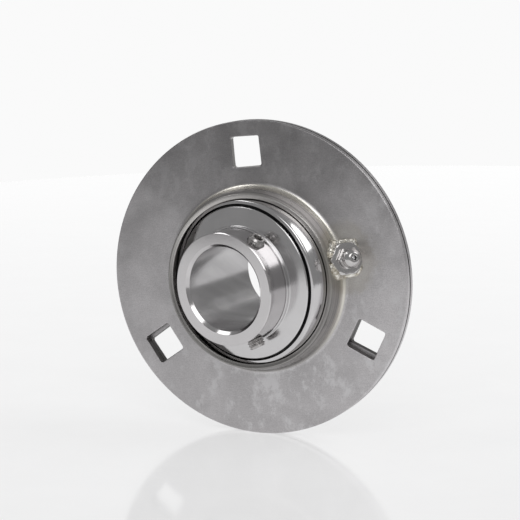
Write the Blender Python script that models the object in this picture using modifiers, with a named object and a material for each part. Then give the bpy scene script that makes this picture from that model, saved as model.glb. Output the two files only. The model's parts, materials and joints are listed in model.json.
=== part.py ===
"""Round flange bearing unit: a pressed two-plate housing that holds a swivelling insert ball bearing.

The part frame has its origin at the centre of the spherical seat, in the parting plane of the two flange
plates. The bearing axis is Y with the shaft's clamping side towards -Y, and +Z passes through one bolt hole.
Every turned piece is drawn as (radius, height) about its own Z axis, and an empty carries it into place.
Lengths are in metres.
"""

import math

import bmesh
import bpy
from mathutils import Matrix, Vector

# ---------------------------------------------------------------- driving dimensions
GAP = 0.0003                    # clearance kept between pieces that touch on the real unit

SPHERE_RADIUS = 0.0310          # spherical outside of the outer ring, 62 mm across
SHEET = 0.0026                  # thickness of each pressed plate
FLANGE_RADIUS = 0.05635
BEND_RADIUS = 0.0016            # outside fillet where the bulge meets the flange
LIP_INNER_HEIGHT = 0.0103       # mouth of the bulge, from the parting plane
LIP_OUTER_HEIGHT = 0.01085
LIP_ROUND = 0.0004
RIM_ROUND = 0.00035

HOLE_COUNT = 3
HOLE_CIRCLE_RADIUS = 0.04530
HOLE_SIDE = 0.0110              # square holes
HOLE_CORNER = 0.0009
FIRST_HOLE_ANGLE = math.radians(90)

SWIVEL_ANGLE = math.radians(11.77)          # insert is tipped in its seat
SWIVEL_AXIS = Vector((0.1351, -0.9908, 0.0))

SHAFT_RADIUS = 0.0150           # 30 mm bore
INNER_RING_RADIUS = 0.0201
INNER_FRONT = 0.0230            # long side of the inner ring, from the seat centre
INNER_REAR = 0.0151
BORE_CHAMFER = 0.00115
RING_CHAMFER = 0.0003
OUTER_HALF_WIDTH = 0.0100
OUTER_LAND_RADIUS = 0.0259
SEAL_BORE_RADIUS = 0.0281
SEAL_STEP = 0.0070              # height where the seal bore begins
RING_EDGE = 0.0003

BALL_COUNT = 9
BALL_RADIUS = 0.0047625         # 3/8 inch balls
PITCH_RADIUS = 0.0230
RACE_RADIUS = 0.00505           # race groove section, slightly larger than the ball

CAGE_INNER_RADIUS = 0.0214
CAGE_OUTER_RADIUS = 0.0246
CAGE_SHEET = 0.0007
POCKET_RADIUS = 0.00506
RIVET_RADIUS = 0.0006
RIVET_HEAD_RADIUS = 0.0012
RIVET_HEAD = 0.0005

FLINGER_RADIUS = 0.0273
FLINGER_BACK = 0.0103
FLINGER_FACE = 0.0110
COLLAR_TOP = 0.0128
COLLAR_WALL = 0.0007
COLLAR_FILLET = 0.0008

SCREW_HEIGHT = 0.0175           # set screws, along the insert axis from the seat centre
SCREW_ANGLES = (math.radians(52), math.radians(-68))
SCREW_PROUD = (0.0020, 0.0030)  # how far each screw stands out of the ring
SCREW_RADIUS = 0.0030           # M6
SCREW_LENGTH = 0.0070
SCREW_SOCKET = 0.0030           # hexagon socket, across flats
SOCKET_DEPTH = 0.0032
TAPPED_RADIUS = 0.0033
COUNTERSINK_RADIUS = 0.0041
COUNTERSINK_DEPTH = 0.0009

BOSS_ANGLE = math.radians(10.2)             # around the flange, from +X towards the top hole
BOSS_TILT = math.radians(45)                # the fitting leans outward from the bearing axis
BOSS_FOOT = (0.0335, 0.00275)               # radius and height where the fitting's axis meets the corner
NUT_FLATS = 0.0110
NUT_FACE = 0.0050               # along the fitting's axis from its foot
NUT_ROOT = 0.0010               # the nut starts this far under the foot, inside the sheet's surface
NUT_BORE = 0.0030
WELD_RADIUS = 0.0077
WELD_RISE = 0.0014
GREASE_DRILL = 0.0013

FITTING_HEX = 0.0070            # grease fitting, across flats
FITTING_HEX_HEIGHT = 0.0023
FITTING_SHANK = 0.00265
FITTING_SHANK_END = 0.0029
FITTING_NECK = 0.0023
FITTING_HEAD = 0.0031
FITTING_TIP = 0.0108            # top of the head along the fitting's axis
FITTING_BORE = 0.00135
CHECK_BALL_RADIUS = 0.00115
CHECK_BALL_HEIGHT = 0.0091
SPRING_RADIUS = 0.00095
SPRING_WIRE = 0.00015
SPRING_TURNS = 6
SPRING_SEAT = 0.0004            # thickness of the crimped end that holds the spring

BIG_STEPS = 48                  # facets round the plates
RING_STEPS = 40                 # facets round the bearing rings
SEAL_STEPS = 32
SMALL_STEPS = 20
TINY_STEPS = 12
CAGE_STEPS = 27
POCKET_STEPS = 12
MERGE = 0.00001
TURN = 2 * math.pi

SEAT_RADIUS = SPHERE_RADIUS + GAP
BULGE_RADIUS = SEAT_RADIUS + SHEET
PLATE_BACK = GAP / 2
PLATE_FACE = PLATE_BACK + SHEET


# ---------------------------------------------------------------- scene and materials
def clear_scene():
    for old in list(bpy.data.objects):
        bpy.data.objects.remove(old, do_unlink=True)
    for group in list(bpy.data.collections):
        bpy.data.collections.remove(group)


def new_collection(name):
    group = bpy.data.collections.new(name)
    bpy.context.scene.collection.children.link(group)
    return group


def material(name, colour, roughness, metallic):
    made = bpy.data.materials.new(name)
    made.use_nodes = True
    shader = made.node_tree.nodes["Principled BSDF"]
    shader.inputs["Base Color"].default_value = (*colour, 1.0)
    shader.inputs["Roughness"].default_value = roughness
    shader.inputs["Metallic"].default_value = metallic
    made.diffuse_color = (*colour, 1.0)
    return made


# ---------------------------------------------------------------- profiles
def arc(centre, radius, start, end, count):
    """Points on an arc of the profile plane, both ends included. Angles are in radians."""
    points = []
    for step in range(count + 1):
        angle = start + (end - start) * step / count
        points.append((centre[0] + radius * math.cos(angle), centre[1] + radius * math.sin(angle)))
    return points


def flipped(profile):
    """The same profile on the other side of the mid plane."""
    return [(radius, -height) for radius, height in reversed(profile)]


def runs_down_outside(profile):
    """Orders a closed profile so that its outer side runs from top to bottom."""
    doubled_area = 0.0
    for (r0, z0), (r1, z1) in zip(profile, profile[1:] + profile[:1]):
        doubled_area += r0 * z1 - r1 * z0
    return profile if doubled_area < 0 else list(reversed(profile))


def bend_centre():
    height = PLATE_FACE + BEND_RADIUS
    reach = BULGE_RADIUS + BEND_RADIUS
    return math.sqrt(reach ** 2 - height ** 2), height


def plate_profile():
    """Pressed sheet: flat flange, bend, spherical bulge, mouth."""
    centre = bend_centre()
    bend_angle = math.atan2(centre[1], centre[0])
    outer_end = math.asin(LIP_OUTER_HEIGHT / BULGE_RADIUS)
    inner_end = math.asin(LIP_INNER_HEIGHT / SEAT_RADIUS)
    lip_outer = Vector((BULGE_RADIUS * math.cos(outer_end), BULGE_RADIUS * math.sin(outer_end)))
    lip_inner = Vector((SEAT_RADIUS * math.cos(inner_end), SEAT_RADIUS * math.sin(inner_end)))
    along_lip = (lip_inner - lip_outer).normalized()
    rim = [
        (FLANGE_RADIUS - RIM_ROUND, PLATE_FACE),
        (FLANGE_RADIUS, PLATE_FACE - RIM_ROUND),
        (FLANGE_RADIUS, PLATE_BACK + RIM_ROUND / 2),
        (FLANGE_RADIUS - RIM_ROUND / 2, PLATE_BACK),
    ]
    under = arc(centre, BEND_RADIUS + SHEET, math.radians(270), bend_angle + math.pi, 3)
    seat = arc((0, 0), SEAT_RADIUS, bend_angle, inner_end, 3)[1:]
    mouth = [tuple(lip_outer + along_lip * LIP_ROUND)]
    bulge = arc((0, 0), BULGE_RADIUS, outer_end - LIP_ROUND / BULGE_RADIUS, bend_angle, 3)
    bend = arc(centre, BEND_RADIUS, bend_angle + math.pi, math.radians(270), 3)[1:]
    return rim + under + seat + mouth + bulge + bend


def dome_profile(offset, top):
    """Solid that fills the bulge and lies under the flange face, grown by offset and cut flat at top."""
    centre = bend_centre()
    bend_angle = math.atan2(centre[1], centre[0])
    radius = BULGE_RADIUS + offset
    crown = arc((0, 0), radius, math.asin(top / radius), bend_angle, 5)
    bend = arc(centre, BEND_RADIUS - offset, bend_angle + math.pi, math.radians(270), 4)[1:]
    far = FLANGE_RADIUS + SHEET
    base = [(far, PLATE_FACE + offset), (far, -SHEET), (0.0, -SHEET)]
    return [(0.0, top)] + crown + bend + base


def race_points(shoulder_radius, start_height, steps):
    """Race groove from +start_height to -start_height on a shoulder inside or outside the pitch circle."""
    across = shoulder_radius - PITCH_RADIUS
    edge = math.atan2(start_height, across)
    side = math.pi if across < 0 else 0.0
    spread = edge - side
    return arc((PITCH_RADIUS, 0), RACE_RADIUS, side + spread, side - spread, steps)


def inner_ring_profile():
    groove_edge = math.sqrt(RACE_RADIUS ** 2 - (PITCH_RADIUS - INNER_RING_RADIUS) ** 2)
    groove = race_points(INNER_RING_RADIUS, groove_edge, 6)
    return [
        (SHAFT_RADIUS + BORE_CHAMFER, INNER_FRONT),
        (INNER_RING_RADIUS - RING_CHAMFER, INNER_FRONT),
        (INNER_RING_RADIUS, INNER_FRONT - RING_CHAMFER),
        *groove,
        (INNER_RING_RADIUS, RING_CHAMFER - INNER_REAR),
        (INNER_RING_RADIUS - RING_CHAMFER, -INNER_REAR),
        (SHAFT_RADIUS + BORE_CHAMFER, -INNER_REAR),
        (SHAFT_RADIUS, BORE_CHAMFER - INNER_REAR),
        (SHAFT_RADIUS, INNER_FRONT - BORE_CHAMFER),
    ]


def outer_ring_profile():
    groove_edge = math.sqrt(RACE_RADIUS ** 2 - (OUTER_LAND_RADIUS - PITCH_RADIUS) ** 2)
    groove = list(reversed(race_points(OUTER_LAND_RADIUS, groove_edge, 6)))
    crown_end = math.asin((OUTER_HALF_WIDTH - RING_EDGE) / SPHERE_RADIUS)
    face_radius = math.sqrt(SPHERE_RADIUS ** 2 - OUTER_HALF_WIDTH ** 2) - RING_EDGE
    front_step = [
        (OUTER_LAND_RADIUS, SEAL_STEP),
        (SEAL_BORE_RADIUS, SEAL_STEP),
        (SEAL_BORE_RADIUS, OUTER_HALF_WIDTH),
        (face_radius, OUTER_HALF_WIDTH),
    ]
    crown = arc((0, 0), SPHERE_RADIUS, crown_end, -crown_end, 6)
    return front_step + crown + flipped(front_step) + groove


def seal_profile():
    """Moulded seal: a bead in the outer ring's step, a flat web, and a lip that slopes up to the inner ring."""
    back = SEAL_STEP + GAP
    outside = SEAL_BORE_RADIUS - GAP
    lip_radius = INNER_RING_RADIUS + GAP
    return [
        (outside, back + 0.0018),
        (outside, back),
        (INNER_RING_RADIUS + 0.0016, back),
        (lip_radius, back + 0.0014),
        (lip_radius + 0.0004, back + 0.0018),
        (INNER_RING_RADIUS + 0.0021, back + 0.0009),
        (outside - 0.0014, back + 0.0009),
        (outside - 0.0011, back + 0.0018),
    ]


def flinger_profile():
    """Pressed disc with a collar that grips the inner ring."""
    bore = INNER_RING_RADIUS + GAP
    collar = bore + COLLAR_WALL
    edge = COLLAR_WALL * 0.3
    fillet_centre = (collar + COLLAR_FILLET, FLINGER_FACE + COLLAR_FILLET)
    fillet = arc(fillet_centre, COLLAR_FILLET, math.pi, math.radians(270), 3)
    return [
        (bore, FLINGER_BACK),
        (bore, COLLAR_TOP - edge),
        (bore + edge, COLLAR_TOP),
        (collar - edge, COLLAR_TOP),
        (collar, COLLAR_TOP - edge),
        *fillet,
        (FLINGER_RADIUS - edge, FLINGER_FACE),
        (FLINGER_RADIUS, FLINGER_FACE - edge),
        (FLINGER_RADIUS, FLINGER_BACK),
    ]


def rod_profile(radius, bottom, top):
    return [(0.0, top), (radius, top), (radius, bottom), (0.0, bottom)]


def tube_profile(inner, outer, bottom, top):
    return [(outer, top), (outer, bottom), (inner, bottom), (inner, top)]


# ---------------------------------------------------------------- object builders
def place(obj, group, parent, local=None):
    group.objects.link(obj)
    obj.parent = parent
    obj.matrix_local = local or Matrix.Identity(4)
    return obj


def empty(name, parent, local):
    holder = bpy.data.objects.new(name, None)
    holder.empty_display_size = 0.01
    return place(holder, frames, parent, local)


def turned(name, profile, steps, group, parent, local=None, closed=True):
    """A profile turned a full circle about the parent's Z axis. An open profile starts and ends on the axis."""
    points = runs_down_outside(profile)
    if not closed:
        points = from_axis_top(points)
    mesh = bpy.data.meshes.new(name)
    edges = [(i, i + 1) for i in range(len(points) - 1)]
    if closed:
        edges.append((len(points) - 1, 0))
    mesh.from_pydata([(radius, 0.0, height) for radius, height in points], edges, [])
    obj = place(bpy.data.objects.new(name, mesh), group, parent, local)
    screw = obj.modifiers.new("turn", "SCREW")
    screw.axis = "Z"
    screw.angle = TURN
    screw.steps = steps
    screw.render_steps = steps
    screw.use_merge_vertices = True
    screw.merge_threshold = MERGE
    return obj


def from_axis_top(points):
    """Rotates the point order so that a solid profile starts at the top of the axis and ends at its bottom."""
    on_axis = [i for i, point in enumerate(points) if point[0] == 0.0]
    start = max(on_axis, key=lambda i: points[i][1])
    return points[start:] + points[:start]


def solid(name, profile, steps, group, parent, local=None):
    return turned(name, profile, steps, group, parent, local, closed=False)


def boolean(obj, operation, other):
    step = obj.modifiers.new(operation.lower(), "BOOLEAN")
    step.operation = operation
    step.solver = "EXACT"
    step.object = other
    return step


def cutter(obj):
    obj.hide_render = True
    obj.display_type = "WIRE"
    return obj


def mesh_object(name, shape, group, parent, local=None):
    """Wraps a bmesh as an object and frees it."""
    mesh = bpy.data.meshes.new(name)
    bmesh.ops.recalc_face_normals(shape, faces=shape.faces)
    shape.to_mesh(mesh)
    shape.free()
    return place(bpy.data.objects.new(name, mesh), group, parent, local)


def paint(obj, look):
    obj.data.materials.clear()
    obj.data.materials.append(look)


def around_axis(angle, tilt, offset=(0.0, 0.0, 0.0)):
    """Turns about Z by angle, then leans the Z axis outward by tilt."""
    return Matrix.Rotation(angle, 4, "Z") @ Matrix.Translation(offset) @ Matrix.Rotation(tilt, 4, "Y")


# ---------------------------------------------------------------- housing
def bolt_hole_cutter():
    shape = bmesh.new()
    for index in range(HOLE_COUNT):
        angle = FIRST_HOLE_ANGLE + index * TURN / HOLE_COUNT
        at = Matrix.Rotation(angle, 4, "Z") @ Matrix.Translation((HOLE_CIRCLE_RADIUS, 0.0, 0.0))
        size = Matrix.Diagonal((HOLE_SIDE, HOLE_SIDE, 6 * SHEET, 1.0))
        cube = bmesh.ops.create_cube(shape, size=1.0, matrix=at @ size)
        upright = set()
        for corner in cube["verts"]:
            for edge in corner.link_edges:
                ends = edge.verts[0].co - edge.verts[1].co
                if abs(ends.z) > 3 * SHEET:
                    upright.add(edge)
        bmesh.ops.bevel(
            shape, geom=list(upright), offset=HOLE_CORNER, segments=3, profile=0.5, affect="EDGES"
        )
    return cutter(mesh_object("bolt_hole_cutter", shape, cutters, flange_frame))


def build_housing():
    holes = bolt_hole_cutter()
    front = turned("front_flange", plate_profile(), BIG_STEPS, parts, flange_frame)
    rear = turned("rear_flange", flipped(plate_profile()), BIG_STEPS, parts, flange_frame)
    drill_profile = rod_profile(GREASE_DRILL, -2 * GREASE_DRILL, 2 * GREASE_DRILL)
    drill = cutter(solid("grease_drill", drill_profile, TINY_STEPS, cutters, boss_frame))
    for plate in (front, rear):
        boolean(plate, "DIFFERENCE", holes)
        paint(plate, steel_sheet)
    boolean(front, "DIFFERENCE", drill)


def hexagon(name, flats, bottom, top, group, parent):
    """Hexagonal prism with corners on the local X axis, so two flats face along Y."""
    corner = flats / 2 / math.cos(math.radians(30))
    return solid(name, rod_profile(corner, bottom, top), 6, group, parent)


def build_boss():
    clear_of_plate = cutter(
        solid("plate_clearance", dome_profile(GAP, BULGE_RADIUS * 0.9), BIG_STEPS, cutters, flange_frame)
    )
    nut = hexagon("grease_boss", NUT_FLATS, -NUT_ROOT, NUT_FACE, parts, boss_frame)
    bore_profile = rod_profile(NUT_BORE, -NUT_FLATS, 2 * NUT_FACE)
    bore = cutter(solid("boss_bore", bore_profile, SMALL_STEPS, cutters, boss_frame))
    boolean(nut, "DIFFERENCE", clear_of_plate)
    boolean(nut, "DIFFERENCE", bore)
    paint(nut, steel_turned)

    weld_skin = cutter(
        solid("weld_skin", dome_profile(WELD_RISE, LIP_INNER_HEIGHT), BIG_STEPS, cutters, flange_frame)
    )
    around_nut = cutter(
        hexagon("nut_clearance", NUT_FLATS + 2 * GAP, -NUT_FLATS, 2 * NUT_FACE, cutters, boss_frame)
    )
    bead_profile = rod_profile(WELD_RADIUS, -NUT_ROOT, NUT_FACE - GAP)
    for name, side in (("weld_upper", 1), ("weld_lower", -1)):
        bead = solid(name, bead_profile, SMALL_STEPS, parts, boss_frame)
        boolean(bead, "INTERSECT", weld_skin)
        boolean(bead, "DIFFERENCE", clear_of_plate)
        boolean(bead, "DIFFERENCE", around_nut)
        boolean(bead, "INTERSECT", side_block(f"{name}_side", side, boss_frame))
        paint(bead, weld_metal)


def side_block(name, side, parent):
    """Cutter block that covers one side of the fitting's radial plane."""
    shape = bmesh.new()
    size = 4 * NUT_FLATS
    at = Matrix.Translation((0.0, side * size / 2, 0.0))
    bmesh.ops.create_cube(shape, size=size, matrix=at)
    return cutter(mesh_object(name, shape, cutters, parent))


def fitting_profile():
    """Outside of the grease fitting, down to the shank, then up its bore to the ball's seat."""
    hex_top = NUT_FACE + GAP + FITTING_HEX_HEIGHT
    mouth = 0.00085
    return [
        (mouth, FITTING_TIP),
        (0.0015, FITTING_TIP),
        (0.0021, FITTING_TIP - 0.0003),
        (FITTING_HEAD, FITTING_TIP - 0.0015),
        (FITTING_HEAD, FITTING_TIP - 0.0019),
        (FITTING_NECK, FITTING_TIP - 0.0027),
        (FITTING_NECK, hex_top - 0.0005),
        (FITTING_SHANK, hex_top - 0.0005),
        (FITTING_SHANK, FITTING_SHANK_END + GAP),
        (FITTING_SHANK - GAP, FITTING_SHANK_END),
        (0.0010, FITTING_SHANK_END),
        (0.0010, FITTING_SHANK_END + SPRING_SEAT),
        (FITTING_BORE, FITTING_SHANK_END + SPRING_SEAT),
        (FITTING_BORE, FITTING_TIP - 0.0012),
        (mouth, FITTING_TIP - 0.0006),
    ]


def build_fitting():
    hex_bottom = NUT_FACE + GAP
    body = turned("grease_fitting", fitting_profile(), SMALL_STEPS, parts, boss_frame)
    collar = cutter(
        hexagon("fitting_hex", FITTING_HEX, hex_bottom, hex_bottom + FITTING_HEX_HEIGHT, cutters, boss_frame)
    )
    collar_bore_profile = rod_profile(FITTING_SHANK - 0.0002, 0.0, FITTING_TIP)
    collar_bore = cutter(
        solid("fitting_hex_bore", collar_bore_profile, SMALL_STEPS, cutters, boss_frame)
    )
    boolean(collar, "DIFFERENCE", collar_bore)
    boolean(body, "UNION", collar)
    paint(body, steel_turned)

    shape = bmesh.new()
    bmesh.ops.create_uvsphere(shape, u_segments=TINY_STEPS, v_segments=8, radius=CHECK_BALL_RADIUS)
    at = Matrix.Translation((0.0, 0.0, CHECK_BALL_HEIGHT))
    ball = mesh_object("fitting_ball", shape, parts, boss_frame, at)
    paint(ball, steel_ball)


def build_spring():
    """Coil spring under the check ball, on a helix between the shank's end and the ball."""
    bottom = FITTING_SHANK_END + SPRING_SEAT + SPRING_WIRE + GAP / 2
    top = CHECK_BALL_HEIGHT - CHECK_BALL_RADIUS - SPRING_WIRE - GAP / 2
    points_per_turn = 8
    count = SPRING_TURNS * points_per_turn + 1
    curve = bpy.data.curves.new("fitting_spring", "CURVE")
    curve.dimensions = "3D"
    curve.bevel_depth = SPRING_WIRE
    curve.bevel_resolution = 0
    curve.use_fill_caps = True
    line = curve.splines.new("POLY")
    line.points.add(count - 1)
    for index, point in enumerate(line.points):
        angle = TURN * index / points_per_turn
        height = bottom + (top - bottom) * index / (count - 1)
        point.co = (SPRING_RADIUS * math.cos(angle), SPRING_RADIUS * math.sin(angle), height, 1.0)
    spring = place(bpy.data.objects.new("fitting_spring", curve), parts, boss_frame)
    curve.materials.append(steel_ball)
    return spring


# ---------------------------------------------------------------- insert bearing
def build_rings():
    inner = turned("inner_ring", inner_ring_profile(), RING_STEPS, parts, insert_frame)
    for number, frame in enumerate(screw_frames, start=1):
        drill_profile = [
            (0.0, INNER_RING_RADIUS * 1.2),
            (COUNTERSINK_RADIUS, INNER_RING_RADIUS * 1.2),
            (COUNTERSINK_RADIUS, INNER_RING_RADIUS),
            (TAPPED_RADIUS, INNER_RING_RADIUS - COUNTERSINK_DEPTH),
            (TAPPED_RADIUS, SHAFT_RADIUS * 0.8),
            (0.0, SHAFT_RADIUS * 0.8),
        ]
        drill = cutter(solid(f"screw_hole_{number}", drill_profile, SMALL_STEPS, cutters, frame))
        boolean(inner, "DIFFERENCE", drill)
    paint(inner, steel_turned)

    outer = turned("outer_ring", outer_ring_profile(), RING_STEPS, parts, insert_frame)
    passage_height = -(SEAL_STEP + math.sqrt(RACE_RADIUS ** 2 - 0.0029 ** 2)) / 2
    passage_frame = around_axis(BOSS_ANGLE, math.radians(90), (0.0, 0.0, passage_height))
    passage_profile = rod_profile(0.0010, OUTER_LAND_RADIUS * 0.9, SPHERE_RADIUS * 1.1)
    passage = cutter(
        solid("grease_passage", passage_profile, TINY_STEPS, cutters, insert_frame, passage_frame)
    )
    boolean(outer, "DIFFERENCE", passage)
    paint(outer, steel_polished)


def build_seals_and_flingers():
    for side in ("front", "rear"):
        seal_shape = seal_profile() if side == "front" else flipped(seal_profile())
        seal = turned(f"{side}_seal", seal_shape, SEAL_STEPS, parts, insert_frame)
        paint(seal, rubber)
        flinger_shape = flinger_profile() if side == "front" else flipped(flinger_profile())
        flinger = turned(f"{side}_flinger", flinger_shape, RING_STEPS, parts, insert_frame)
        paint(flinger, steel_polished)


def ball_angle(index):
    return TURN * index / BALL_COUNT


def ball_cluster(name, radius, segments):
    """One sphere at each ball's place, all in one object."""
    shape = bmesh.new()
    for index in range(BALL_COUNT):
        at = Matrix.Rotation(ball_angle(index), 4, "Z") @ Matrix.Translation((PITCH_RADIUS, 0.0, 0.0))
        bmesh.ops.create_uvsphere(
            shape, u_segments=segments, v_segments=segments // 2, radius=radius, matrix=at
        )
    return cutter(mesh_object(name, shape, cutters, insert_frame))


def build_balls():
    shape = bmesh.new()
    bmesh.ops.create_uvsphere(shape, u_segments=12, v_segments=8, radius=BALL_RADIUS)
    first = None
    for index in range(BALL_COUNT):
        at = Matrix.Rotation(ball_angle(index), 4, "Z") @ Matrix.Translation((PITCH_RADIUS, 0.0, 0.0))
        name = f"ball_{index + 1}"
        if first is None:
            first = mesh_object(name, shape, parts, insert_frame, at)
            paint(first, steel_ball)
        else:
            place(bpy.data.objects.new(name, first.data), parts, insert_frame, at)


def build_cage():
    """Two pressed ribbons that wrap the balls, held together by a rivet between each pair of balls."""
    pockets = ball_cluster("pocket_cutter", POCKET_RADIUS, POCKET_STEPS)
    domes = ball_cluster("pocket_domes", POCKET_RADIUS + CAGE_SHEET, POCKET_STEPS)
    rivet_holes_shape = bmesh.new()
    for index in range(BALL_COUNT):
        angle = ball_angle(index + 0.5)
        at = Matrix.Rotation(angle, 4, "Z") @ Matrix.Translation((PITCH_RADIUS, 0.0, 0.0))
        bmesh.ops.create_cone(
            rivet_holes_shape, cap_ends=True, segments=6, matrix=at,
            radius1=RIVET_RADIUS + GAP, radius2=RIVET_RADIUS + GAP, depth=8 * CAGE_SHEET,
        )
    rivet_holes = cutter(mesh_object("rivet_hole_cutter", rivet_holes_shape, cutters, insert_frame))
    reach = POCKET_RADIUS + 2 * CAGE_SHEET
    for side, sign in (("front", 1), ("rear", -1)):
        near = sign * GAP / 2
        web = near + sign * CAGE_SHEET
        web_profile = tube_profile(CAGE_INNER_RADIUS, CAGE_OUTER_RADIUS, min(near, web), max(near, web))
        envelope_profile = tube_profile(
            CAGE_INNER_RADIUS, CAGE_OUTER_RADIUS, min(near, sign * reach), max(near, sign * reach)
        )
        half = turned(f"cage_{side}", web_profile, CAGE_STEPS, parts, insert_frame)
        envelope = cutter(turned(f"{side}_cage_envelope", envelope_profile, CAGE_STEPS, cutters, insert_frame))
        boolean(half, "UNION", domes)
        boolean(half, "INTERSECT", envelope)
        boolean(half, "DIFFERENCE", pockets)
        boolean(half, "DIFFERENCE", rivet_holes)
        paint(half, steel_sheet)
    build_rivets()


def build_rivets():
    head_seat = GAP / 2 + CAGE_SHEET + GAP / 2
    head_top = head_seat + RIVET_HEAD
    upper = [
        (0.0, head_top),
        (RIVET_HEAD_RADIUS * 0.6, head_top),
        (RIVET_HEAD_RADIUS, head_seat),
        (RIVET_RADIUS, head_seat),
    ]
    outline = upper + flipped(upper)
    for index in range(BALL_COUNT):
        at = Matrix.Rotation(ball_angle(index + 0.5), 4, "Z") @ Matrix.Translation((PITCH_RADIUS, 0, 0))
        rivet = solid(f"cage_rivet_{index + 1}", outline, 6, parts, insert_frame, at)
        paint(rivet, steel_turned)


def build_set_screws():
    for number, (frame, proud) in enumerate(zip(screw_frames, SCREW_PROUD), start=1):
        top = INNER_RING_RADIUS + proud
        bottom = top - SCREW_LENGTH
        profile = [
            (0.0, top),
            (SCREW_RADIUS - 0.0004, top),
            (SCREW_RADIUS, top - 0.0004),
            (SCREW_RADIUS, bottom + 0.0009),
            (0.0020, bottom),
            (0.0012, bottom),
            (0.0, bottom + 0.0006),
        ]
        screw = solid(f"set_screw_{number}", profile, SMALL_STEPS, parts, frame)
        socket_bottom = top - SOCKET_DEPTH
        socket = cutter(
            hexagon(f"screw_socket_{number}", SCREW_SOCKET, socket_bottom, top + GAP, cutters, frame)
        )
        boolean(screw, "DIFFERENCE", socket)
        paint(screw, steel_screw)


def shade_round_pieces():
    for obj in parts.objects:
        if obj.type == "MESH":
            obj.data.shade_smooth()
            obj.data.set_sharp_from_angle(angle=math.radians(35))
            smooth = obj.modifiers.get("turn")
            if smooth:
                smooth.use_smooth_shade = True


# ---------------------------------------------------------------- assembly
clear_scene()
parts = new_collection("flange_mount_bearing")
cutters = new_collection("cutters")
frames = new_collection("frames")

steel_sheet = material("pressed_stainless", (0.42, 0.41, 0.41), 0.42, 1.0)
steel_turned = material("turned_stainless", (0.62, 0.61, 0.60), 0.28, 1.0)
steel_polished = material("polished_stainless", (0.70, 0.69, 0.69), 0.12, 1.0)
steel_ball = material("hardened_steel", (0.74, 0.74, 0.75), 0.06, 1.0)
steel_screw = material("screw_steel", (0.50, 0.49, 0.48), 0.30, 1.0)
weld_metal = material("weld_metal", (0.66, 0.62, 0.52), 0.36, 1.0)
rubber = material("seal_rubber", (0.015, 0.015, 0.016), 0.55, 0.0)

flange_frame = empty("flange_frame", None, Matrix.Rotation(math.radians(90), 4, "X"))
insert_frame = empty("insert_frame", flange_frame, Matrix.Rotation(SWIVEL_ANGLE, 4, SWIVEL_AXIS))
boss_frame = empty(
    "boss_frame", flange_frame, around_axis(BOSS_ANGLE, BOSS_TILT, (BOSS_FOOT[0], 0.0, BOSS_FOOT[1]))
)
screw_frames = []
for screw_number, screw_angle in enumerate(SCREW_ANGLES, start=1):
    across_ring = around_axis(screw_angle, math.radians(90), (0.0, 0.0, SCREW_HEIGHT))
    screw_frames.append(empty(f"set_screw_{screw_number}_frame", insert_frame, across_ring))

build_housing()
build_boss()
build_fitting()
build_spring()
build_rings()
build_seals_and_flingers()
build_balls()
build_cage()
build_set_screws()
shade_round_pieces()
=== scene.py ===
import json
import math

import bmesh
import bpy
from mathutils import Matrix, Vector, noise


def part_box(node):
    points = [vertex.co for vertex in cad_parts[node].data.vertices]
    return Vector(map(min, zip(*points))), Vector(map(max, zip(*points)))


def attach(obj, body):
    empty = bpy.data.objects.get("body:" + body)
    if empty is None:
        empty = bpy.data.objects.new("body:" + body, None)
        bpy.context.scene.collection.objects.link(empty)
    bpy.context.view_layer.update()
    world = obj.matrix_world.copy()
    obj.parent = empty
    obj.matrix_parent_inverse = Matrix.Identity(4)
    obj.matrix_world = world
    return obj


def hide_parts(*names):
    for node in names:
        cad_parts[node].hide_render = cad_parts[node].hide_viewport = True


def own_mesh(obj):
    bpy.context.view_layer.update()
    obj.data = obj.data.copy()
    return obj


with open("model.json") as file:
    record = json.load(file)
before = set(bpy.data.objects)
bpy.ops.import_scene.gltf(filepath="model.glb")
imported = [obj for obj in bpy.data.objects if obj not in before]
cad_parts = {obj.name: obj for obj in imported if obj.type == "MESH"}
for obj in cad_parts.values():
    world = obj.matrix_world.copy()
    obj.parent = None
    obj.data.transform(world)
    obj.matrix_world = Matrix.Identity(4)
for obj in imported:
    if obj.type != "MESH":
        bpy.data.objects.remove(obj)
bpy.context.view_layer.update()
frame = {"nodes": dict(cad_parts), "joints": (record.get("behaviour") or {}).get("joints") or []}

joints = {joint["name"]: joint for joint in frame["joints"]}

MM = 0.001
TURN = 2 * math.pi

# ---------------------------------------------------------------- sizes, in millimetres
GAP = 0.3  # between pieces that touch on the real object

# Plates: flat sheet, bends at the bulge's foot, spherical bulge and its mouth.
SHEET = 2.6
BEND = 2.2
UNDER_BEND = 4.2
SEAT_RADIUS = 31.3
BULGE_RADIUS = 33.0
PLATE_BACK = GAP / 2
PLATE_FACE = PLATE_BACK + SHEET
FLANGE_RADIUS = 56.35
LIP_INNER_HEIGHT = 10.3
LIP_OUTER_HEIGHT = 10.85

# Square holes. The rear plate's are turned a little against the front plate's.
HOLE_CIRCLE = 45.3
HOLE_SIDE = 11.0
HOLE_CORNER = 0.9
HOLE_ANGLES = [math.radians(90 + 120 * index) for index in range(3)]
REAR_TURN = math.radians(1.6)

# Insert bearing.
SPHERE_RADIUS = 31.0
OUTER_HALF_WIDTH = 10.0
OUTER_LAND = 25.9
SEAL_BORE = 27.95
SEAL_STEP = 7.0
INNER_RING_RADIUS = 20.1
SHAFT_RADIUS = 15.0
INNER_FRONT = 23.0
INNER_REAR = 15.1
PITCH_RADIUS = 23.0
RACE_RADIUS = 5.05
BALL_RADIUS = 4.7625
BALL_COUNT = 9

# Flinger: a shallow cone from its hub down to its outer edge, with a collar on the inner ring.
FLINGER_RADIUS = 27.3
FLINGER_BACK = 10.3
FLINGER_FACE = 11.0
FLINGER_HUB = 12.0
COLLAR_TOP = 13.6

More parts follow.
